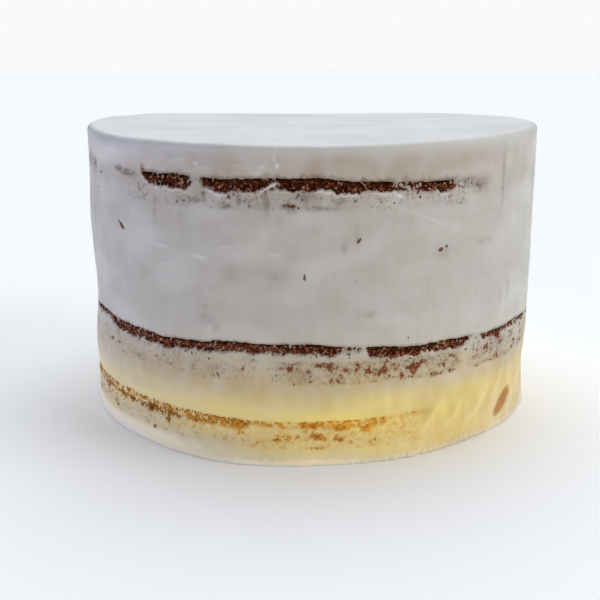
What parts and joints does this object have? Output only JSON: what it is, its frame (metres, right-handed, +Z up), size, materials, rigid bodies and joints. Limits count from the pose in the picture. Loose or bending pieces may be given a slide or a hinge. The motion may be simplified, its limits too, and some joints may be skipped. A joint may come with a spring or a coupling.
{
  "type": "naked cake",
  "caption": "Round naked layer cake: chocolate sponges and cream fillings under a thin scraped coat of cream, with sponge edges breaking through.",
  "frame": {"origin": "centre of the flat base of the bottom sponge", "axes": "+Z up through the centre of the cake; -Y towards the side that the picture shows"},
  "size_m": [0.2056, 0.2073, 0.1259],
  "materials": {
    "chocolate_sponge": null,
    "filling_cream": null,
    "coat_cream": null
  },
  "bodies": {
    "root": {"sponge_1": "chocolate_sponge", "filling_1": "filling_cream", "sponge_2": "chocolate_sponge", "filling_2": "filling_cream", "sponge_3": "chocolate_sponge", "filling_3": "filling_cream", "sponge_4": "chocolate_sponge", "icing": "coat_cream"}
  },
  "joints": []
}
